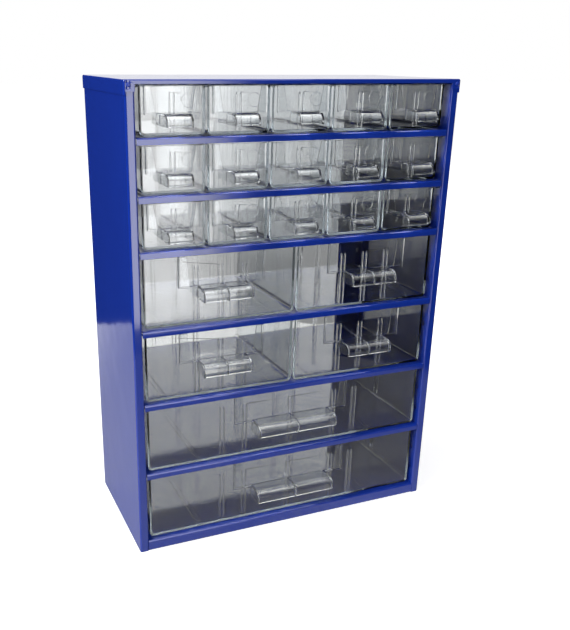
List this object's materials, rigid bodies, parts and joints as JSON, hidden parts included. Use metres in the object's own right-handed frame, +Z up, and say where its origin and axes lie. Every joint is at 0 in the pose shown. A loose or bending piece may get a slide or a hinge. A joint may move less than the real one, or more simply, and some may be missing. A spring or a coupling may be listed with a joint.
{
  "type": "parts organizer",
  "caption": "Upright sheet-steel cabinet with rows of small, medium and large clear pull-out drawers for sorting small parts.",
  "frame": {"origin": "centre of the overall box's footprint, on the surface that the cabinet stands on", "axes": "+Z up, -Y out of the drawer fronts, +X to the right as seen from the front"},
  "size_m": [0.306, 0.155, 0.415],
  "materials": {
    "painted_steel": "semi-gloss blue powder coat",
    "clear_plastic": "clear moulded polystyrene",
    "rivet_steel": "painted over with the case"
  },
  "bodies": {
    "case": {"left_side_panel": "painted_steel", "right_side_panel": "painted_steel", "base_panel": "painted_steel", "lid": "painted_steel", "lid_rivets": "rivet_steel", "shelf_1": "painted_steel", "shelf_2": "painted_steel", "shelf_3": "painted_steel", "shelf_4": "painted_steel", "shelf_5": "painted_steel", "shelf_6": "painted_steel"},
    "small_drawer_1_1": {"small_drawer_1_1": "clear_plastic"},
    "small_drawer_1_2": {"small_drawer_1_2": "clear_plastic"},
    "small_drawer_1_3": {"small_drawer_1_3": "clear_plastic"},
    "small_drawer_1_4": {"small_drawer_1_4": "clear_plastic"},
    "small_drawer_1_5": {"small_drawer_1_5": "clear_plastic"},
    "small_drawer_2_1": {"small_drawer_2_1": "clear_plastic"},
    "small_drawer_2_2": {"small_drawer_2_2": "clear_plastic"},
    "small_drawer_2_3": {"small_drawer_2_3": "clear_plastic"},
    "small_drawer_2_4": {"small_drawer_2_4": "clear_plastic"},
    "small_drawer_2_5": {"small_drawer_2_5": "clear_plastic"},
    "small_drawer_3_1": {"small_drawer_3_1": "clear_plastic"},
    "small_drawer_3_2": {"small_drawer_3_2": "clear_plastic"},
    "small_drawer_3_3": {"small_drawer_3_3": "clear_plastic"},
    "small_drawer_3_4": {"small_drawer_3_4": "clear_plastic"},
    "small_drawer_3_5": {"small_drawer_3_5": "clear_plastic"},
    "medium_drawer_4_1": {"medium_drawer_4_1": "clear_plastic"},
    "medium_drawer_4_2": {"medium_drawer_4_2": "clear_plastic"},
    "medium_drawer_5_1": {"medium_drawer_5_1": "clear_plastic"},
    "medium_drawer_5_2": {"medium_drawer_5_2": "clear_plastic"},
    "large_drawer_6": {"large_drawer_6": "clear_plastic"},
    "large_drawer_7": {"large_drawer_7": "clear_plastic"}
  },
  "joints": [
    {"name": "small_drawer_1_1_slide", "type": "slide", "parent": "case", "child": "small_drawer_1_1", "axis": [0, -1, 0], "range_m": [0, 0.1]},
    {"name": "small_drawer_1_2_slide", "type": "slide", "parent": "case", "child": "small_drawer_1_2", "axis": [0, -1, 0], "range_m": [0, 0.1]},
    {"name": "small_drawer_1_3_slide", "type": "slide", "parent": "case", "child": "small_drawer_1_3", "axis": [0, -1, 0], "range_m": [0, 0.1]},
    {"name": "small_drawer_1_4_slide", "type": "slide", "parent": "case", "child": "small_drawer_1_4", "axis": [0, -1, 0], "range_m": [0, 0.1]},
    {"name": "small_drawer_1_5_slide", "type": "slide", "parent": "case", "child": "small_drawer_1_5", "axis": [0, -1, 0], "range_m": [0, 0.1]},
    {"name": "small_drawer_2_1_slide", "type": "slide", "parent": "case", "child": "small_drawer_2_1", "axis": [0, -1, 0], "range_m": [0, 0.1]},
    {"name": "small_drawer_2_2_slide", "type": "slide", "parent": "case", "child": "small_drawer_2_2", "axis": [0, -1, 0], "range_m": [0, 0.1]},
    {"name": "small_drawer_2_3_slide", "type": "slide", "parent": "case", "child": "small_drawer_2_3", "axis": [0, -1, 0], "range_m": [0, 0.1]},
    {"name": "small_drawer_2_4_slide", "type": "slide", "parent": "case", "child": "small_drawer_2_4", "axis": [0, -1, 0], "range_m": [0, 0.1]},
    {"name": "small_drawer_2_5_slide", "type": "slide", "parent": "case", "child": "small_drawer_2_5", "axis": [0, -1, 0], "range_m": [0, 0.1]},
    {"name": "small_drawer_3_1_slide", "type": "slide", "parent": "case", "child": "small_drawer_3_1", "axis": [0, -1, 0], "range_m": [0, 0.1]},
    {"name": "small_drawer_3_2_slide", "type": "slide", "parent": "case", "child": "small_drawer_3_2", "axis": [0, -1, 0], "range_m": [0, 0.1]},
    {"name": "small_drawer_3_3_slide", "type": "slide", "parent": "case", "child": "small_drawer_3_3", "axis": [0, -1, 0], "range_m": [0, 0.1]},
    {"name": "small_drawer_3_4_slide", "type": "slide", "parent": "case", "child": "small_drawer_3_4", "axis": [0, -1, 0], "range_m": [0, 0.1]},
    {"name": "small_drawer_3_5_slide", "type": "slide", "parent": "case", "child": "small_drawer_3_5", "axis": [0, -1, 0], "range_m": [0, 0.1]},
    {"name": "medium_drawer_4_1_slide", "type": "slide", "parent": "case", "child": "medium_drawer_4_1", "axis": [0, -1, 0], "range_m": [0, 0.1]},
    {"name": "medium_drawer_4_2_slide", "type": "slide", "parent": "case", "child": "medium_drawer_4_2", "axis": [0, -1, 0], "range_m": [0, 0.1]},
    {"name": "medium_drawer_5_1_slide", "type": "slide", "parent": "case", "child": "medium_drawer_5_1", "axis": [0, -1, 0], "range_m": [0, 0.1]},
    {"name": "medium_drawer_5_2_slide", "type": "slide", "parent": "case", "child": "medium_drawer_5_2", "axis": [0, -1, 0], "range_m": [0, 0.1]},
    {"name": "large_drawer_6_slide", "type": "slide", "parent": "case", "child": "large_drawer_6", "axis": [0, -1, 0], "range_m": [0, 0.1]},
    {"name": "large_drawer_7_slide", "type": "slide", "parent": "case", "child": "large_drawer_7", "axis": [0, -1, 0], "range_m": [0, 0.1]}
  ]
}
